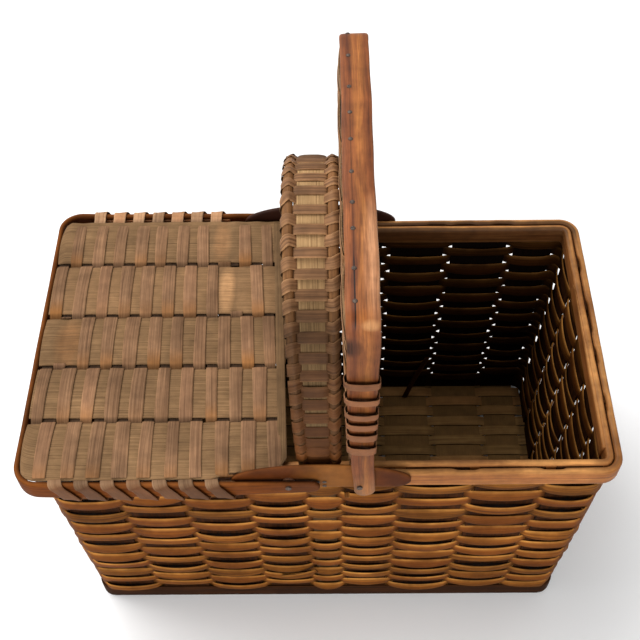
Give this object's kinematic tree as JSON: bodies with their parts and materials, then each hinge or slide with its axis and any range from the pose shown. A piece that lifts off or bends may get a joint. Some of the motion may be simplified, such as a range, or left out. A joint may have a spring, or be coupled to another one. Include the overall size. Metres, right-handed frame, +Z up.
{
  "type": "splint picnic basket",
  "caption": "Rectangular woven splint basket with a fixed arched carrying handle across the middle and a hinged woven lid on each side of it, one closed and one standing open.",
  "frame": {"origin": "middle of the basket's foot, on the surface that it stands on", "axes": "+X along the basket towards the open lid, -Y towards the front, +Z up"},
  "size_m": [0.4588, 0.2734, 0.4623],
  "materials": {
    "wall_splint": "aged satin",
    "rim_wood": "aged satin",
    "handle_splint": "worn matte",
    "handle_wood": "worn matte",
    "lid_splint": "weathered matte",
    "lid_wood": "worn satin",
    "nail_steel": "dulled"
  },
  "bodies": {
    "root": {"foot_band": "wall_splint", "outer_weavers": "wall_splint", "inner_weavers": "wall_splint", "cross_splints": "wall_splint", "left_uprights": "wall_splint", "right_uprights": "wall_splint", "middle_floor_splint": "wall_splint", "floor_strips": "wall_splint", "rim_outer_hoop": "rim_wood", "rim_inner_hoop": "rim_wood", "front_ear_board": "rim_wood", "back_ear_board": "rim_wood", "ear_board_nails": "nail_steel", "pivot_pins": "nail_steel", "pivot_washers": "nail_steel", "handle_centre_band": "handle_splint", "handle_left_rod": "handle_wood", "handle_right_rod": "handle_wood", "handle_wraps": "handle_splint"},
    "left_lid": {"left_lid_hoop": "lid_wood", "left_lid_nails": "nail_steel", "left_lid_splints": "lid_splint", "left_lid_weavers": "lid_splint", "left_lid_edge_splint": "lid_splint", "left_lid_lashings": "lid_splint"},
    "right_lid": {"right_lid_hoop": "lid_wood", "right_lid_nails": "nail_steel", "right_lid_splints": "lid_splint", "right_lid_weavers": "lid_splint", "right_lid_edge_splint": "lid_splint", "right_lid_lashings": "lid_splint"}
  },
  "joints": [
    {"name": "left_lid_hinge", "type": "hinge", "parent": "root", "child": "left_lid", "pos_m": [-0.0267, 0, 0.2553], "axis": [0, 1, 0], "range_deg": [0, 85]},
    {"name": "right_lid_hinge", "type": "hinge", "parent": "root", "child": "right_lid", "pos_m": [0.026, 0, 0.2553], "axis": [0, 1, 0], "range_deg": [0, 92.1]}
  ]
}
